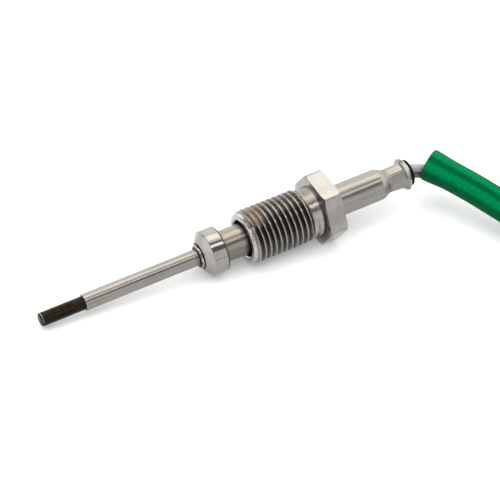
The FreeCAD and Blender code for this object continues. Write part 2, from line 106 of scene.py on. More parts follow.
class Value:
    """A shader socket that can stand in a sum."""

    def __init__(self, surface, socket):
        self.surface = surface
        self.socket = socket

    def _math(self, operation, *terms):
        return self.surface.node("ShaderNodeMath", {"operation": operation}, dict(enumerate(terms)))

    def __add__(self, other):
        return self._math("ADD", self, other)

    __radd__ = __add__

    def __sub__(self, other):
        return self._math("SUBTRACT", self, other)

    def __rsub__(self, other):
        return self._math("SUBTRACT", other, self)

    def __mul__(self, other):
        return self._math("MULTIPLY", self, other)

    __rmul__ = __mul__

    def __truediv__(self, other):
        return self._math("DIVIDE", self, other)

    def __rtruediv__(self, other):
        return self._math("DIVIDE", other, self)

    def __pow__(self, other):
        return self._math("POWER", self, other)

    def sine(self):
        return self._math("SINE", self)

    def absolute(self):
        return self._math("ABSOLUTE", self)

    def ramp(self, low, high, start=0.0, end=1.0):
        """Smoothly from start to end as the value goes from low to high."""
        return self.surface.node(
            "ShaderNodeMapRange", {"interpolation_type": "SMOOTHSTEP"},
            {"Value": self, "From Min": low, "From Max": high, "To Min": start, "To Max": end},
        )

    def spread(self, start=0.0, end=1.0):
        """From start to end over the range that a noise mostly takes."""
        return self.ramp(0.3, 0.7, start, end)

    def within(self, rise, fall):
        """Smoothly up to 1 over the rise, and back to 0 over the fall."""
        return self.ramp(*rise) * self.ramp(*fall, 1.0, 0.0)


class Surface:
    """A material made of nodes, with one Principled shader at its end."""

    def __init__(self, name, **constants):
        self.material = bpy.data.materials.new(name)
        self.material.use_nodes = True
        self.tree = self.material.node_tree
        self.shader = next(n for n in self.tree.nodes if n.type == "BSDF_PRINCIPLED")
        for socket, value in constants.items():
            self.set(socket.replace("_", " "), value)

    def node(self, kind, settings=None, inputs=None, out=0):
        made = self.tree.nodes.new(kind)
        for key, value in (settings or {}).items():
            setattr(made, key, value)
        for key, value in (inputs or {}).items():
            self.feed(made.inputs[key], value)
        return Value(self, made.outputs[out])

    def feed(self, socket, value):
        if isinstance(value, Value):
            self.tree.links.new(value.socket, socket)
        elif socket.type == "RGBA":
            socket.default_value = (*value, 1.0)
        else:
            socket.default_value = value

    def set(self, socket, value):
        self.feed(self.shader.inputs[socket], value)

    def place(self):
        """Object coordinates, in metres."""
        return self.node("ShaderNodeTexCoord", out="Object")

    def along_probe(self):
        """Object coordinates turned into the probe's own, in millimetres: x along its axis from the tip."""
        shift = Matrix.Rotation(TILT, 3, "Y") @ (AXIS * MOUTH - EXIT)
        return self.node("ShaderNodeMapping", None, {
            "Vector": self.place(), "Location": shift, "Rotation": (0.0, TILT, 0.0), "Scale": (1000.0,) * 3,
        })

    def stretched(self, vector, scale):
        return self.node("ShaderNodeMapping", None, {"Vector": vector, "Scale": scale})

    def noise(self, vector, scale, detail=3.0, roughness=0.55):
        return self.node("ShaderNodeTexNoise", None, {
            "Vector": vector, "Scale": scale, "Detail": detail, "Roughness": roughness,
        })

    def parts(self, vector):
        """The three numbers of a vector."""
        split = self.node("ShaderNodeSeparateXYZ", None, {"Vector": vector}).socket.node
        return [Value(self, output) for output in split.outputs]

    def mix(self, factor, first, second):
        return self.node("ShaderNodeMix", {"data_type": "RGBA"}, {0: factor, 6: first, 7: second}, out=2)

    def bump(self, height, distance, strength=1.0):
        self.set("Normal", self.node("ShaderNodeBump", None, {
            "Height": height, "Distance": distance, "Strength": strength,
        }))


def drawn_steel(name, light, dark, rough, tint, stain_and_shade_at):
    """Tube steel: faint lines along it, cloudy patches, heat tint, brown staining with a painted shade line
    round one station, painted shade below between collar and nut, towards the nut's mouth and in the
    crease, and a painted highlight on the flare.
    """
    s = Surface(name, Metallic=1.0)
    place = s.along_probe()
    x, y, z = s.parts(place)
    height = z * UP_Z + y * UP_Y
    lines = s.noise(s.stretched(place, (0.05, 2.2, 2.2)), 1.0, 4.0)
    cloud = s.noise(place, 0.16, 4.0)
    spots = s.noise(place, 1.1, 5.0)
    colour = s.mix((lines * 0.6 + cloud * 0.4).spread(), dark, light)
    off = (x - stain_and_shade_at).absolute()
    colour = s.mix(cloud.ramp(0.45, 0.75, 0.0, 0.5) + off.ramp(0.0, 9.0, 0.6, 0.0), colour, tint)
    # Painted shade: darker on the lower side between the collar and the nut.
    between_collar_and_nut = x.within((RIM_REAR - 1.0, RIM_REAR), (NUT_FRONT + 1.0, NUT_FRONT + 2.0))
    colour = s.mix(between_collar_and_nut * height.ramp(-2.2, -1.0, 0.55, 0.0), colour, PAINTED_UNDER_SHADE)
    # Painted highlight: a bright band on the upper side of the flare.
    flare_highlight = x.ramp(CRIMP_END + 0.65, CRIMP_END + 0.85)
    flare_highlight = flare_highlight * height.ramp(-1.6, 0.6, 0.1, 1.0) * height.ramp(1.8, 3.2, 1.0, 0.1)
    colour = s.mix(flare_highlight * 0.75, colour, PAINTED_FLARE_HIGHLIGHT)
    # A thin painted shade line where the tube meets the collar, with spotty brown staining round it; spotty
    # painted shade towards the nut's mouth; painted shade in the crease, strongest below.
    joint_shade_and_stain = off.ramp(0.0, 0.3, 1.0, 0.0) + off.ramp(0.0, 1.8, 0.7, 0.0) * spots.ramp(0.4, 0.65)
    shade_at_nut = between_collar_and_nut * x.ramp(NUT_FRONT - 2.2, NUT_FRONT - 0.3, 0.0, 0.7) * spots.ramp(0.42, 0.6)
    crease_shade = (x - CREASE).absolute().ramp(0.0, 0.6, 0.55, 0.0) * height.ramp(-1.0, 1.0, 0.9, 0.25)
    dirt_and_shade = joint_shade_and_stain + shade_at_nut + crease_shade
    s.set("Base Color", s.mix(dirt_and_shade, colour, BROWN_DIRT_AND_SHADE))
    rubbed = x.within((SHOULDER, SHOULDER + 1.0), (CRIMP_START, CRIMP_START + 1.0))
    rough = lines.spread(rough - 0.03, rough + 0.04)
    s.set("Roughness", rough + dirt_and_shade * 0.2 + rubbed * 0.22 + flare_highlight * 0.2)
    s.bump(lines, 0.00001, 0.12)
    return s.material


def collar_steel():
    """Lathe-cut steel with fine rings, a brighter cone and bead, painted shade where the lip meets the
    sheath, in the groove and at the rim's rear edge, and dirty spots on the bead.
    """
    s = Surface("turned_steel", Metallic=1.0)
    place = s.along_probe()
    x = s.parts(place)[0]
    rings = s.noise(s.stretched(place, (6.0, 0.15, 0.15)), 1.0, 3.0)
    cloud = s.noise(place, 0.35, 5.0)
    spots = s.noise(place, 1.3, 3.0)
    metal = s.mix((rings * 0.5 + cloud * 0.5).ramp(0.32, 0.68), (0.2, 0.193, 0.181), (0.248, 0.24, 0.227))
    metal = s.mix(x.ramp(RIM_FRONT - 0.15, RIM_FRONT, 0.6, 0.0), metal, BRIGHT_CONE)
    metal = s.mix(x.ramp(LIP_FRONT + 0.5, LIP_FRONT + 0.6, 0.4, 0.0), metal, BRIGHT_BEAD)
    # Painted shade at the lip's front, in the groove and at the rim's rear edge; spots of grime on the
    # bead.
    at_sheath = x.ramp(LIP_FRONT + 0.06, LIP_FRONT + 0.2, 1.0, 0.0)
    in_groove = x.within((LIP_FRONT + 0.48, LIP_FRONT + 0.56), (LIP_END + 0.04, LIP_END + 0.14))
    on_bead = x.ramp(LIP_END - 0.1, LIP_END, 1.0, 0.0) * spots.ramp(0.5, 0.62, 0.0, 0.75)
    at_rear = x.ramp(RIM_REAR - 0.4, RIM_REAR - 0.22)
    dirt_and_shade = at_sheath + in_groove + on_bead + at_rear
    s.set("Base Color", s.mix(dirt_and_shade, metal, GRIME_AND_SHADE))
    s.set("Roughness", cloud.spread(0.07, 0.12) + dirt_and_shade * 0.3)
    s.bump(rings, 0.000006, 0.2)
    return s.material


def nut_steel():
    """Machined steel with painted shade in the thread's grooves, tan rust and scorch marks on one side of
    thread and neck, painted light on the lower side and painted shade in the hexagon's front corner.
    """
    s = Surface("nut_steel", Metallic=1.0)
    place = s.along_probe()
    x, y, z = s.parts(place)
    radius = (y * y + z * z) ** 0.5
    facing = (z * UP_Y - y * UP_Z) / radius
    upper = (z * UP_Z + y * UP_Y) / radius
    cloud = s.noise(place, 0.5, 5.0)
    rings = s.noise(s.stretched(place, (5.0, 0.2, 0.2)), 1.0, 3.0)
    spots = s.noise(place, 2.2, 4.0)
    in_thread = x.within((THREAD_FRONT - 0.9, THREAD_FRONT - 0.2), (NECK_FRONT - 0.9, NECK_FRONT - 0.2))
    in_groove = radius.within((5.6, 5.9), (6.68, 6.96)) * in_thread
    grain = cloud * 0.6 + rings * 0.4
    metal = s.mix(grain.ramp(0.32, 0.68), (0.225, 0.217, 0.205), (0.275, 0.266, 0.252))
    metal = s.mix(in_thread * spots.ramp(0.4, 0.7, 0.0, 0.3), metal, CREST_STAIN)
    # Painted light: the lower side, away from the thread, is lighter.
    lit_underside = (z / radius).ramp(-0.75, -0.35, 0.8, 0.0)
    metal = s.mix(lit_underside * (1 - in_thread), metal, PAINTED_UNDERSIDE_LIGHT)
    lead_in = x.ramp(THREAD_FRONT - 0.7, THREAD_FRONT - 0.3, 0.7, 0.0) * spots.ramp(0.35, 0.45)
    metal = s.mix(lead_in, metal, BRIGHT_LEAD_IN)
    # Painted shade in the grooves, deepest on the side turned towards the camera; tan rust on the upper
    # side.
    dirt_and_shade = s.mix(facing.ramp(0.72, 0.97, 0.25, 1.0), GROOVE_SHADE, DEEP_GROOVE_SHADE)
    rust = s.mix(spots.ramp(0.35, 0.65), DARK_RUST, PALE_RUST)
    dirt_and_shade = s.mix((upper + cloud * 0.5).ramp(0.6, 0.9), dirt_and_shade, rust)
    front_turns = x.within((THREAD_FRONT - 0.6, THREAD_FRONT), (THREAD_FRONT + 2.0, THREAD_FRONT + 5.5))
    on_neck = x.within((THREAD_END, NECK_FRONT), (HEX_FRONT - 0.9, HEX_FRONT - 0.5))
    scorched = (front_turns + on_neck) * (upper + cloud * 0.3).ramp(0.3, 0.5)
    scorched = scorched * spots.ramp(0.3, 0.6, 0.45, 0.9)
    metal = s.mix(scorched, metal, SCORCHED_CREST)
    dirt_and_shade = s.mix(scorched, dirt_and_shade, SCORCHED_GROOVE)
    # Painted shade: the hexagon's front face darker in its corner by the neck, most on the lower side.
    corner = x.ramp(HEX_FRONT - 0.3, HEX_FRONT - 0.05) * radius.ramp(6.8, 9.2, 0.8, 0.0)
    corner = corner * upper.absolute().ramp(0.05, 0.35, 0.35, 1.0) * upper.ramp(0.2, 0.75, 1.0, 0.0)
    metal = s.mix(corner, metal, PAINTED_CORNER_SHADE)
    s.set("Base Color", s.mix(in_groove * 0.92, metal, dirt_and_shade))
    s.set("Roughness", cloud.spread(0.16, 0.28) - in_thread * 0.05 + in_groove * 0.22)
    s.bump(grain, 0.00002, 0.07)
    return s.material


def dark_tip():
    """Heat-darkened steel with streaks along it, and a painted highlight on the upper side of its end's
    rounded edge.
    """
    s = Surface("dark_tip", Metallic=1.0)
    place = s.along_probe()
    x, _, z = s.parts(place)
    cloud = s.noise(place, 0.7, 6.0)
    streaks = s.noise(s.stretched(place, (0.12, 2.6, 2.6)), 1.0, 3.0)
    streaky = (streaks * 0.7 + cloud * 0.3).ramp(0.35, 0.65)
    scale = s.mix(streaky, (0.006, 0.0045, 0.003), (0.026, 0.0185, 0.0125))
    # Painted highlight: a thin bright arc on the upper side of the rounded edge.
    edge = x.within((0.3, 0.38), (0.46, 0.54)) * (z * 0.5 + cloud).ramp(0.7, 1.0)
    s.set("Base Color", s.mix(edge, scale, PAINTED_TIP_HIGHLIGHT))
    s.set("Roughness", cloud.spread(0.34, 0.48))
    s.bump(streaks, 0.00002, 0.3)
    return s.material


def weave():
    """Coated braid: two sets of strands that cross over and under, on the sleeve's map in strand widths,
    with painted highlights along two ridges and painted shade between the strands.
    """
    s = Surface("green_weave", Specular_IOR_Level=0.04, Specular_Tint=(0.0, 1.0, 0.6))
    u, v, _ = s.parts(s.node("ShaderNodeTexCoord", out="UV"))
    place = s.place()
    wobble = s.noise(place, 900.0, 3.0) * 0.8
    first = ((u + v + wobble) * math.pi).sine()
    second = ((u - v + wobble) * math.pi).sine()
    over = (first * second).ramp(-0.25, 0.25)
    height = first.absolute() * over + second.absolute() * (1.0 - over)
    cloud = s.noise(place, 260.0, 4.0)
    mottled = s.noise(place, 1100.0, 3.0)
    fine = s.noise(place, 2600.0, 2.0)
    turn = u * (2 * math.pi / STRANDS) + math.pi / 2
    # Painted highlights: paler streaks along two ridges round the sleeve.
    side_ridge_highlight = (turn - math.radians(52)).sine().ramp(0.9, 1.0)
    top_ridge_highlight = (turn + math.radians(6)).sine().ramp(0.92, 1.0)
    pale = (side_ridge_highlight + top_ridge_highlight) * 0.7 + cloud * 0.3 + mottled * 0.6 - 0.35
    body = s.mix(pale.ramp(0.0, 1.0), (0.0, 0.098, 0.03), (0.0, 0.27, 0.1))
    # Painted shade: darker where the weave dips between strands.
    s.set("Base Color", s.mix((height * 0.7 + fine * 0.3).ramp(0.2, 0.75), (0.0, 0.076, 0.023), body))
    s.set("Roughness", fine.spread(0.45, 0.62))
    s.bump(height * 0.8 + fine * 0.2, 0.0002, 0.8)
    return s.material


def moulded(name, light, dark, low, high, grain=1800.0, shine=0.5):
    """Rubber, plastic or fired ceramic: a fine grain and slow cloudy changes of colour."""
    s = Surface(name, Specular_IOR_Level=shine)
    place = s.place()
    cloud = s.noise(place, 140.0, 4.0)
    fine = s.noise(place, grain, 2.0)
    s.set("Base Color", s.mix((cloud * 0.7 + fine * 0.3).spread(), dark, light))
    s.set("Roughness", fine.spread(low, high))
    s.bump(fine, 0.00003, 0.25)
    return s.material


def wire_pair():
    """Insulation of the two wires that show: the upper pale grey, the lower painted dark as shade under the
    upper one.
    """
    s = Surface("wire_pair")
    place = s.place()
    x, _, z = s.parts(place)
    cloud = s.noise(place, 300.0, 4.0)
    fine = s.noise(place, 1800.0, 2.0)
    pale = s.mix(cloud.spread(), (0.25, 0.24, 0.24), (0.325, 0.312, 0.312))
    dark = s.mix(cloud.spread(), (0.06, 0.065, 0.06), (0.085, 0.09, 0.085))
    # Painted shade: the lower wire darker.
    above_the_gap = (z + x * 0.19).ramp(0.0200, 0.0204)
    s.set("Base Color", s.mix(above_the_gap, dark, pale))
    s.set("Roughness", fine.spread(0.4, 0.55))
    s.bump(fine, 0.00003, 0.25)
    return s.material


def small_metal(name, light, dark, rough):
    """Wire, ferrule and contact metal."""
    s = Surface(name, Metallic=1.0)
    cloud = s.noise(s.place(), 700.0, 4.0)
    s.set("Base Color", s.mix(cloud.spread(), dark, light))
    s.set("Roughness", cloud.spread(rough - 0.06, rough + 0.08))
    s.bump(cloud, 0.00001, 0.2)
    return s.material


def paper():
    """The pale sweep that the sensor lies on."""
    s = Surface("paper", Roughness=0.9, Emission_Color=(1.0, 1.0, 1.0), Emission_Strength=0.2)
    cloud = s.noise(s.place(), 3.0, 2.0)
    s.set("Base Color", s.mix(cloud, (0.86, 0.86, 0.86), (0.9, 0.9, 0.9)))
    return s.material


def keep(name, mesh, material, body, replaced, sharp=35.0):
    """A finished piece, shaded smooth but for its edges, on its body and in place of CAD nodes."""
    made = bpy.data.objects.new(name, mesh)
    scene.collection.objects.link(made)
    mesh.materials.append(material)
    for face in mesh.polygons:
        face.use_smooth = True
    mesh.set_sharp_from_angle(angle=math.radians(sharp))
    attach(made, body)
    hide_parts(*replaced)
    return made


def as_mesh(name, bm, matrix=None):
    """Closes seams and poles, turns the faces outwards and lays the piece down."""
    bmesh.ops.remove_doubles(bm, verts=bm.verts, dist=MERGE_M if matrix is None else MERGE_MM)
    bmesh.ops.recalc_face_normals(bm, faces=bm.faces)
    if matrix is not None:
        bmesh.ops.transform(bm, matrix=matrix, verts=bm.verts)
    mesh = bpy.data.meshes.new(name)
    bm.to_mesh(mesh)
    bm.free()
    return mesh


def spun(bm, outline, steps, closed=False):
    """Spins an outline about the axis. Its points are (x, radius) or (x, radius, rounding)."""
    verts = [bm.verts.new((p[0], 0.0, p[1])) for p in outline]
    edges = [bm.edges.new(pair) for pair in zip(verts, verts[1:])]
    if closed:
        edges.append(bm.edges.new((verts[-1], verts[0])))
    bmesh.ops.spin(
        bm, geom=verts + edges, cent=(0, 0, 0), axis=(1, 0, 0), angle=2 * math.pi, steps=steps,
        use_merge=True,
    )
    for x, radius, rounding in (p for p in outline if len(p) == 3):
        rim = [e for e in bm.edges if all(on_ring(v, x, radius) for v in e.verts)]
        bmesh.ops.bevel(
            bm, geom=rim, offset=rounding, affect="EDGES", segments=3, profile=0.5, material=-1,
        )


def on_ring(vert, x, radius):
    return abs(vert.co.x - x) < NEAR and abs(math.hypot(vert.co.y, vert.co.z) - radius) < NEAR


def lofted(bm, count, course, point):
    """Rings extruded one from another along a course. point(angle, station) places a ring's vertex."""
    around = bm.verts.layers.float.new("around")
    along = bm.verts.layers.float.new("along")
    ring = bmesh.ops.create_circle(bm, segments=count, radius=1.0)["verts"]
    edges = list(bm.edges)
    for n, vert in enumerate(ring):
        vert[around] = n / count
    for n, station in enumerate(course):
        if n:
            made = bmesh.ops.extrude_edge_only(bm, edges=edges)["geom"]
            ring = [g for g in made if isinstance(g, bmesh.types.BMVert)]
            fresh = set(ring)
            edges = [g for g in made if isinstance(g, bmesh.types.BMEdge) and fresh.issuperset(g.verts)]
        for vert in ring:
            vert.co = point(2 * math.pi * vert[around], station)
            vert[along] = n
    return around, along


def smooth(low, high, x):
    """Smoothly from 0 to 1 as x goes from low to high."""
    t = min(max((x - low) / (high - low), 0.0), 1.0)
    return t * t * (3 - 2 * t)


def blend(start, end, share):
    return start + (end - start) * share


def tip_mesh():
    """A thin cap, closed and rounded at its front."""
    bm = bmesh.new()
    bore = TIP_R - TIP_WALL
    outside = [(0, 0), (0, TIP_R, TIP_ROUND), (CAP_END, TIP_R)]
    inside = [(CAP_END, bore), (TIP_WALL, bore), (TIP_WALL, 0)]
    spun(bm, outside + inside, steps=64)
    return as_mesh("probe_tip", bm, REST)


def sheath_mesh():
    """A plain tube from the cap into the rear tube."""
    bm = bmesh.new()
    front = [(TIP_END, SHEATH_BORE), (TIP_END, SHEATH_R, SHEATH_ROUND)]
    rear = [(SHEATH_END, SHEATH_R), (SHEATH_END, SHEATH_BORE)]
    spun(bm, front + rear, steps=72, closed=True)
    return as_mesh("sheath", bm, REST)


def collar_mesh():
    """A lip with a rounded bead, a groove, the sealing cone and the rim, with seats for both tubes."""
    bm = bmesh.new()
    lip = [(LIP_FRONT, SHEATH_R + FIT)]
    lip += [(LIP_FRONT + behind, radius) for behind, radius in BEAD]
    groove = [(GROOVE_FRONT, GROOVE_R), (GROOVE_REAR, GROOVE_R)]
    cone = [(LIP_END, CONE_R, CONE_ROUND), (RIM_FRONT, RIM_R, RIM_FRONT_ROUND)]
    rear = [(RIM_REAR, RIM_R, RIM_REAR_ROUND), (RIM_REAR, TUBE_R + FIT)]
    socket = [(SOCKET, TUBE_R + FIT), (SOCKET, SHEATH_R + FIT)]
    spun(bm, lip + groove + cone + rear + socket, steps=128, closed=True)
    return as_mesh("collar", bm, REST)


def jaw_radius(flat, angle):
    """A section with a flat to each jaw and blunted corners."""
    half = math.pi / JAWS
    turn = (angle + half) % (2 * half) - half
    return min(flat / math.cos(turn), flat * BLUNT)


def tube_radius(x, angle):
    """The rear tube's radius: round, a full shoulder, the crimp's flats, and a flare with a rolled edge."""
    if x > RIDGE:
        return jaw_radius(blend(RIDGE_R, EDGE_R, (x - RIDGE) / (TUBE_END - RIDGE)), angle)
    if x > CRIMP_END:
        opened = ((x - CRIMP_END) / (RIDGE - CRIMP_END)) ** 1.4
        return jaw_radius(blend(CRIMP_REAR_R, RIDGE_R, opened), angle)
    if x > CRIMP_START:
        crimped = (x - CRIMP_START) / (CRIMP_END - CRIMP_START)
        return jaw_radius(blend(CRIMP_FRONT_R, CRIMP_REAR_R, crimped), angle)
    fall = max((x - SHOULDER) / (CRIMP_START - SHOULDER), 0.0)
    squeezed = blend(SQUEEZED_R, jaw_radius(CRIMP_FRONT_R, angle), smooth(0.5, 1.0, fall))
    return blend(TUBE_R, squeezed, smooth(0.0, 1.0, fall ** 1.3))


def tube_mesh():
    """Rings along the outside, over the flare's edge and back inside."""
    steps = 54
    edge_front = TUBE_END - 0.12
    stations = [SOCKET, RIM_REAR, NUT_FRONT, HEX_REAR, SHOULDER - 0.4]
    stations += [blend(SHOULDER, edge_front, i / steps) for i in range(steps + 1)]
    course = [(x, 0.0) for x in stations]
    course += [(TUBE_END - before, depth) for before, depth in TUBE_EDGE]
    course += [(x, TUBE_WALL) for x in reversed(stations)]

    def point(angle, station):
        x, depth = station
        radius = tube_radius(x, angle) - depth
        if x > GROMMET_FRONT:
            radius = max(radius, GROMMET_R)
        return x, radius * math.cos(angle), radius * math.sin(angle)

    bm = bmesh.new()
    lofted(bm, 128, course, point)
    bmesh.ops.bridge_loops(bm, edges=[e for e in bm.edges if e.is_boundary])
    return as_mesh("tube", bm, REST)


def thread_fade(x, radius):
    """Fades the helix in over the lead-in cone, and leaves faint ribs of it on the neck."""
    full = smooth(THREAD_FRONT - 0.4, THREAD_FRONT + 0.5, x)
    full *= blend(1.0, NECK_RIBS, smooth(THREAD_END - 0.4, NECK_FRONT, x))
    outer = THREAD_R
    if x < THREAD_FRONT:
        outer = blend(FRONT_R, THREAD_R, (x - NUT_FRONT) / (THREAD_FRONT - NUT_FRONT))
    elif x > THREAD_END:
        outer = blend(THREAD_R, NECK_R, smooth(THREAD_END, NECK_FRONT, x))
        outer += (NECK_REAR_R - NECK_R) * smooth(HEX_FRONT - 1.2, HEX_FRONT - 0.4, x)
    return outer - (THREAD_R - radius) * full


def open_edges(bm, stations):
    """The open edges at some stations along the axis."""
    def at_station(vert):
        return any(abs(vert.co.x - x) < 10 * NEAR for x in stations)

    return [e for e in bm.edges if e.is_boundary and all(at_station(v) for v in e.verts)]


def cut(bm, x, away):
    """Cuts off what lies in front of a station (away is -1) or behind it (away is 1)."""
    bmesh.ops.bisect_plane(
        bm, geom=bm.verts[:] + bm.edges[:] + bm.faces[:], dist=0.01 * NEAR,
        plane_co=(x, 0, 0), plane_no=(away, 0, 0), clear_outer=True,
    )


def hexagon():
    """The spanner's six flats with chamfered corners, open at both ends for the neck and the bore."""
    half = math.pi / 6

    def point(angle, station):
        turn = (angle + half) % (2 * half) - half
        reach = min(HEX_FLAT / math.cos(half - abs(turn)), HEX_CORNER_R)
        end, inward, chamfered = station
        if chamfered:
            reach = min(reach, CHAMFER_R)
        drop = max(reach - CHAMFER_R, 0.0) * math.tan(CHAMFER_ANGLE)
        return end + inward * drop, reach * math.cos(angle), reach * math.sin(angle)

    bm = bmesh.new()
    front = [(HEX_FRONT, 1, True), (HEX_FRONT, 1, False)]
    rear = [(HEX_REAR, -1, False), (HEX_REAR, -1, True)]
    lofted(bm, 144, front + rear, point)
    bmesh.ops.remove_doubles(bm, verts=bm.verts, dist=MERGE_MM)
    mesh = bpy.data.meshes.new("hexagon")
    bm.to_mesh(mesh)
    bm.free()
    return mesh


def nut_mesh():
    """A right-hand helix on the shank and neck, joined to the bore in front and to the hexagon behind."""
    steps = 128
    start = NUT_FRONT - 2 * PITCH - FIRST_CREST
    turns = int((HEX_FRONT - start) / PITCH) + 3
    bm = bmesh.new()
    verts = [bm.verts.new((start + k * PITCH + dx, 0.0, r)) for k in range(turns) for dx, r in TOOTH]
    edges = [bm.edges.new(pair) for pair in zip(verts, verts[1:])]
    bmesh.ops.spin(
        bm, geom=verts + edges, cent=(0, 0, 0), axis=(1, 0, 0), dvec=(PITCH / steps, 0, 0),
        angle=2 * math.pi, steps=steps,
    )
    bmesh.ops.remove_doubles(bm, verts=bm.verts, dist=2 * MERGE_MM)
    for vert in bm.verts:
        radius = math.hypot(vert.co.y, vert.co.z)
        vert.co.yz = vert.co.yz * (thread_fade(vert.co.x, radius) / radius)
    cut(bm, FRONT_EDGE, -1)
    cut(bm, HEX_FRONT, 1)
    mouth = [(NUT_FRONT, FRONT_EDGE_R), (NUT_FRONT, MOUTH_R + MOUTH_CHAMFER)]
    bore = [(NUT_FRONT + MOUTH_CHAMFER, MOUTH_R), (BORE_END, MOUTH_R)]
    guide = [(GUIDE_FRONT, GUIDE_R), (HEX_REAR, GUIDE_R)]
    spun(bm, mouth + bore + guide, steps)
    head = hexagon()
    bm.from_mesh(head)
    bpy.data.meshes.remove(head)
    for stations in ((FRONT_EDGE, NUT_FRONT), (HEX_FRONT,), (HEX_REAR,)):
        bmesh.ops.bridge_loops(bm, edges=open_edges(bm, stations))
    return as_mesh("nut", bm, REST)


def smooth_line(name, points):
    """A NURBS line with a route's points as its control points."""
    curve = bpy.data.curves.new(name, "CURVE")
    curve.dimensions = "3D"
    curve.resolution_u = 10
    spline = curve.splines.new("NURBS")
    spline.points.add(len(points) - 1)
    for point, place in zip(spline.points, points):
        point.co = (*place, 1.0)
    spline.order_u = 3
    spline.use_endpoint_u = True
    return curve


def line_points(curve):
    """Points read from a line that has no bevel."""
    holder = bpy.data.objects.new("line", curve)
    scene.collection.objects.link(holder)
    bpy.context.view_layer.update()
    mesh = bpy.data.meshes.new_from_object(holder)
    points = [v.co.copy() for v in mesh.vertices]
    bpy.data.meshes.remove(mesh)
    bpy.data.objects.remove(holder)
    return points


def length_of(points):
    return sum((b - a).length for a, b in zip(points, points[1:]))


# The cable's route in metres: from the sleeve's mouth down to the table and on to the coil
CABLE = [
    (0.05819, 0.0, 0.01045), (0.06351, -0.00845, 0.0097), (0.06866, -0.0180, 0.0083),
    (0.07446, -0.0280, 0.0065), (0.08176, -0.0396, 0.00485), (0.09016, -0.0506, 0.00465),
]
SLEEVE_R, SLEEVE_BORE, MOUTH_DEPTH, SLEEVE_LENGTH = 0.00385, 0.00335, 0.0075, 0.474
COIL_CENTRE, COIL_R = Vector((0.121937, -0.026305, 0.0)), 0.040
COIL_ENTRY, COIL_SWEEP = math.radians(217.4), math.radians(592.6)
COIL_POINTS = 18                                # to a turn
LOW_TURN, HIGH_TURN = 0.00465, 0.01235
CLIMB = math.radians(250), math.radians(345)    # where the cable climbs onto its first turn
STRANDS = 32                                    # round the sleeve, each way
DENT, DENT_TURN, DENT_WIDTH = 0.0004, 24, 15    # a crease along the sleeve, and degrees round it
# The sleeve's mouth is a little wider over a short length, and reaches forwards on one side
WIDER, WIDER_LENGTH, FORWARD_TURN = 0.0004, 0.007, math.radians(44)

# The two wires from the sleeve's far end to the connector, in metres
TAILS = [
    [
        (0.122537, 0.012595, 0.01235), (0.115087, 0.011895, 0.0117), (0.110737, 0.006545, 0.0098),
        (0.111237, -0.001105, 0.0081), (0.111237, -0.009505, 0.0081),
    ],
    [
        (0.122537, 0.014795, 0.01235), (0.113987, 0.013895, 0.0117), (0.107737, 0.007245, 0.0098),
        (0.106637, -0.001105, 0.0081), (0.106637, -0.009505, 0.0081),
    ],
]
TAIL_LENGTHS = (0.0303, 0.0343)
WIRE_R = 0.00105


def cable_route():
    """The route's points, then one turn on the table and the rest of a turn on top of it."""
    points = [Vector(p) for p in CABLE]
    reach = COIL_R / math.cos(math.pi / COIL_POINTS)
    count = int(COIL_SWEEP / (2 * math.pi) * COIL_POINTS)
    for i in range(1, count + 1):
        turn = COIL_SWEEP * i / count
        out = COIL_R if i == count else reach
        angle = COIL_ENTRY + turn
        height = blend(LOW_TURN, HIGH_TURN, smooth(*CLIMB, turn))
        points.append(COIL_CENTRE + Vector((out * math.cos(angle), out * math.sin(angle), height)))
    return points


def cross_frames(points):
    """Two directions across a line at each of its points, carried along it without twist."""
    frames = []
    side = Vector((0, 0, 1))
    for i in range(len(points)):
        along = (points[min(i + 1, len(points) - 1)] - points[max(i - 1, 0)]).normalized()
        side = (side - along * side.dot(along)).normalized()
        frames.append((side, along.cross(side)))
    return frames


def sleeve_mesh(points):
    """A round bar with a hollow mouth at both ends, and a map in strand widths for its weave."""
    frames = cross_frames(points)
    travelled = [length_of(points[:i + 1]) for i in range(len(points))]
    inside = [i for i, t in enumerate(travelled) if t < MOUTH_DEPTH]
    last = len(points) - 1
    course = [(i, SLEEVE_BORE) for i in reversed(inside)]
    course += [(i, SLEEVE_R) for i in range(len(points))]
    course += [(last - i, SLEEVE_BORE) for i in inside]

    def point(angle, station):
        i, radius = station
        side, up = frames[i]
        near = 1 - smooth(0.0, WIDER_LENGTH, travelled[i])
        radius -= DENT * math.exp(-((math.degrees(angle) - DENT_TURN) / DENT_WIDTH) ** 2)
        radius += WIDER * near
        forward = WIDER * max(math.cos(angle - FORWARD_TURN), 0.0) * near
        across = side * (radius * math.cos(angle)) + up * (radius * math.sin(angle))
        return points[i] - side.cross(up) * forward + across

    bm = bmesh.new()
    around, along = lofted(bm, 40, course, point)
    for end in (0, len(course) - 1):
        rim = [e for e in bm.edges if e.is_boundary and all(v[along] == end for v in e.verts)]
        bmesh.ops.edgeloop_fill(bm, edges=rim)
    strand = 2 * math.pi * SLEEVE_R / STRANDS
    uv = bm.loops.layers.uv.new("weave")
    for face in bm.faces:
        turns = [loop.vert[around] for loop in face.loops]
        for loop, turn in zip(face.loops, turns):
            wrapped = turn + 1.0 if turn < 0.25 and max(turns) > 0.75 else turn
            loop[uv].uv = (wrapped * STRANDS, travelled[course[round(loop.vert[along])][0]] / strand)
    return as_mesh("sleeve", bm)


def build_sleeve(material):
    points = line_points(smooth_line("cable_line", cable_route()))
    sleeve = keep(
        "sleeve", sleeve_mesh(points), material,
        "probe", ("cable_sleeve", "cable_coil"), sharp=60.0,
    )


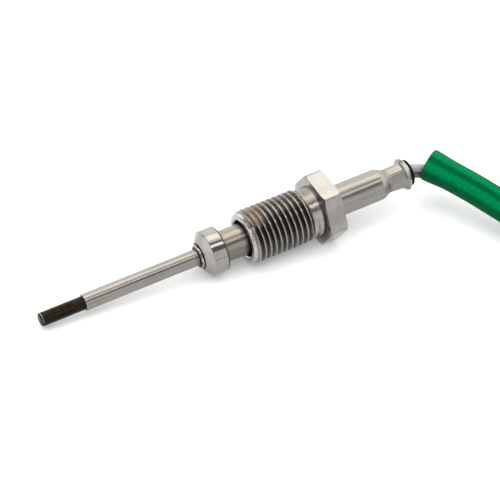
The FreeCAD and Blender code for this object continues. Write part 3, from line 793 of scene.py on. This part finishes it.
def build_tails(material):
    for number, (route, length) in enumerate(zip(TAILS, TAIL_LENGTHS), 1):
        curve = smooth_line(f"tail_{number}", route)
        curve.bevel_depth = WIRE_R
        curve.bevel_resolution = 6
        curve.use_fill_caps = True
        curve.materials.append(material)
        tail = bpy.data.objects.new(f"tail_{number}", curve)
        scene.collection.objects.link(tail)
        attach(tail, "probe")
        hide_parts("lead_tails")


# Camera and lights: places in metres, the lens in millimetres
CAMERA_PLACE, CAMERA_AIM = (-0.229056, -0.338222, 0.439977), (0.00724, 0.00122, 0.0)
CAMERA_ROLL, FOCAL_LENGTH, SENSOR_WIDTH = math.radians(7.5807), 173.405, 36.0
STRIP_AWAY, PROBE_HEIGHT = 0.8, 0.008
WHITE, WARM = (1.0, 1.0, 1.0), (1.0, 0.97, 0.92)
FLOOR_SIZE, FLOOR_DROP = 3.0, 0.0001
ROOM_GREY, ROOM_EXTRA = 0.38, 1.6               # the room, and what it gains where the camera sees it


def aimed(made, place, target):
    """Stands a camera or a light at a place, looking at a target."""
    made.location = place
    made.rotation_mode = "QUATERNION"
    made.rotation_quaternion = (Vector(target) - Vector(place)).to_track_quat("-Z", "Y")
    scene.collection.objects.link(made)
    return made


def panel(name, place, target, size, radiance, colour=WHITE, soft=False):
    """A flat light. A soft one lights dull surfaces, and the others are only mirrored by the metal."""
    lamp = bpy.data.lights.new(name, "AREA")
    lamp.shape = "RECTANGLE"
    lamp.size, lamp.size_y = size
    lamp.energy = radiance * math.pi * lamp.size * lamp.size_y
    lamp.color = colour
    made = aimed(bpy.data.objects.new(name, lamp), place, target)
    made.visible_camera = False
    made.visible_glossy = not soft
    made.visible_diffuse = soft


def strip(name, low, high, radiance, colour=WHITE, shift=0.3, length=2.2):
    """A long light parallel to the probe, between two angles round it, counted from the table in front."""
    middle, half = math.radians((low + high) / 2), math.radians((high - low) / 2)
    place = (shift, -STRIP_AWAY * math.cos(middle), PROBE_HEIGHT + STRIP_AWAY * math.sin(middle))
    size = (length, 2 * STRIP_AWAY * math.tan(half))
    panel(name, place, (shift, 0.0, PROBE_HEIGHT), size, radiance, colour)


def set_camera():
    """The photograph's viewpoint, fitted to it."""
    lens = bpy.data.cameras.new("camera")
    lens.sensor_width = SENSOR_WIDTH
    lens.lens = FOCAL_LENGTH
    lens.clip_start, lens.clip_end = 0.01, 20.0
    camera = aimed(bpy.data.objects.new("camera", lens), CAMERA_PLACE, CAMERA_AIM)
    camera.rotation_quaternion = camera.rotation_quaternion @ Quaternion((0, 0, 1), CAMERA_ROLL)
    scene.camera = camera


def lay_floor():
    """The sweep, a hair below the table's height so that nothing shares its plane."""
    bm = bmesh.new()
    bmesh.ops.create_grid(bm, x_segments=2, y_segments=2, size=FLOOR_SIZE)
    bmesh.ops.translate(bm, verts=bm.verts, vec=(0.0, 0.0, -FLOOR_DROP))
    floor_mesh = bpy.data.meshes.new("floor")
    bm.to_mesh(floor_mesh)
    bm.free()
    floor = bpy.data.objects.new("floor", floor_mesh)
    scene.collection.objects.link(floor)
    floor_mesh.materials.append(paper())


def set_lights():
    """Long lights that the metal mirrors, and one soft light from above."""
    for name, low, high, radiance in (
        ("softbox_low", 131, 179, 2.1), ("softbox_middle", 104, 131, 3.5), ("softbox_high", 91, 104, 1.8),
    ):
        strip(name, low, high, radiance, WARM, shift=0.75, length=2.3)
    strip("top_strip", 67, 79.5, 3.4)
    strip("front_fill", 2, 43.5, 1.18)
    panel("end_panel", (-1.6, 0.4, 0.5), (0.0, 0.4, 0.5), (2.4, 1.6), 1.55)
    panel("far_panel", (1.6, -0.45, 0.75), (0.0, 0.0, 0.0), (1.6, 1.2), 2.6)
    panel("overhead", (-0.2, 0.13, 1.5), (-0.2, 0.0, PROBE_HEIGHT), (3.0, 2.4), 2.35, soft=True)


def set_room():
    """A grey room that is brighter where the camera looks straight at it."""
    world = bpy.data.worlds.new("room")
    world.use_nodes = True
    background = next(n for n in world.node_tree.nodes if n.type == "BACKGROUND")
    background.inputs["Color"].default_value = (ROOM_GREY, ROOM_GREY, ROOM_GREY, 1.0)
    path = world.node_tree.nodes.new("ShaderNodeLightPath")
    brighter = world.node_tree.nodes.new("ShaderNodeMath")
    brighter.operation = "MULTIPLY_ADD"
    brighter.inputs[1].default_value, brighter.inputs[2].default_value = ROOM_EXTRA, 1.0
    world.node_tree.links.new(path.outputs["Is Camera Ray"], brighter.inputs[0])
    world.node_tree.links.new(brighter.outputs[0], background.inputs["Strength"])
    scene.world = world
    scene.view_settings.view_transform = "Standard"


def paint(material, *names):
    """Gives CAD nodes a finish."""
    for name in names:
        nodes[name].data.materials.clear()
        nodes[name].data.materials.append(material)


set_camera()
lay_floor()
set_lights()
set_room()
build_sleeve(weave())
build_tails(moulded("grey_insulation", (0.30, 0.29, 0.29), (0.2, 0.195, 0.195), 0.38, 0.5))

keep("probe_tip", tip_mesh(), dark_tip(), "probe", ("tip_cap",))
sheath_steel = drawn_steel(
    "sheath_steel", (0.232, 0.223, 0.21), (0.176, 0.167, 0.155), 0.21,
    tint=(0.21, 0.185, 0.155), stain_and_shade_at=LIP_FRONT,
)
keep("sheath", sheath_mesh(), sheath_steel, "probe", ("probe_sheath",))
keep("collar", collar_mesh(), collar_steel(), "probe", ("seat_collar",))
tube_steel = drawn_steel(
    "tube_steel", (0.228, 0.22, 0.205), (0.174, 0.166, 0.153), 0.235,
    tint=(0.19, 0.165, 0.13), stain_and_shade_at=RIM_REAR,
)
keep("tube", tube_mesh(), tube_steel, "probe", ("rear_tube",))
keep("nut", nut_mesh(), nut_steel(), "nut", ("union_nut",))

ceramic = moulded("fired_ceramic", (0.8, 0.79, 0.75), (0.68, 0.67, 0.63), 0.5, 0.7)
powder = moulded("mineral_powder", (0.75, 0.74, 0.7), (0.6, 0.59, 0.55), 0.8, 0.95, grain=3000.0)
bare_wire = small_metal("wire_metal", (0.6, 0.58, 0.55), (0.45, 0.43, 0.4), 0.32)
seal_glass = moulded("fused_seal", (0.4, 0.43, 0.41), (0.28, 0.3, 0.29), 0.2, 0.3)
brass = small_metal("ferrule_brass", (0.72, 0.56, 0.3), (0.55, 0.41, 0.2), 0.3)
shrunk = moulded("shrink_sleeve", (0.07, 0.07, 0.075), (0.045, 0.045, 0.05), 0.4, 0.55)
black_rubber = moulded("black_rubber", (0.004, 0.0035, 0.0035), (0.002,) * 3, 0.6, 0.75, shine=0.06)
strap = moulded("tie_plastic", (0.012,) * 3, (0.007,) * 3, 0.38, 0.5, shine=0.25)
shell = moulded(
    "connector_plastic", (0.014, 0.014, 0.0155), (0.008, 0.008, 0.009), 0.42, 0.56, shine=0.25,
)
tinned = small_metal("tinned_brass", (0.75, 0.72, 0.66), (0.58, 0.55, 0.5), 0.28)
seal_rubber = moulded("seal_rubber", (0.3, 0.1, 0.04), (0.2, 0.065, 0.025), 0.45, 0.6)

paint(ceramic, "sensing_element", "wire_separator")
paint(powder, "tip_filler", "mineral_insulation")
paint(bare_wire, "element_leads", "core_wires")
paint(seal_glass, "sheath_end_seal")
paint(brass, "splice_ferrules")
paint(shrunk, "splice_sleeves")
paint(black_rubber, "rear_grommet")
paint(wire_pair(), "lead_wires")
paint(strap, "coil_tie")
paint(shell, "connector_housing")
paint(tinned, "contact_pins")
paint(seal_rubber, "wire_seals")
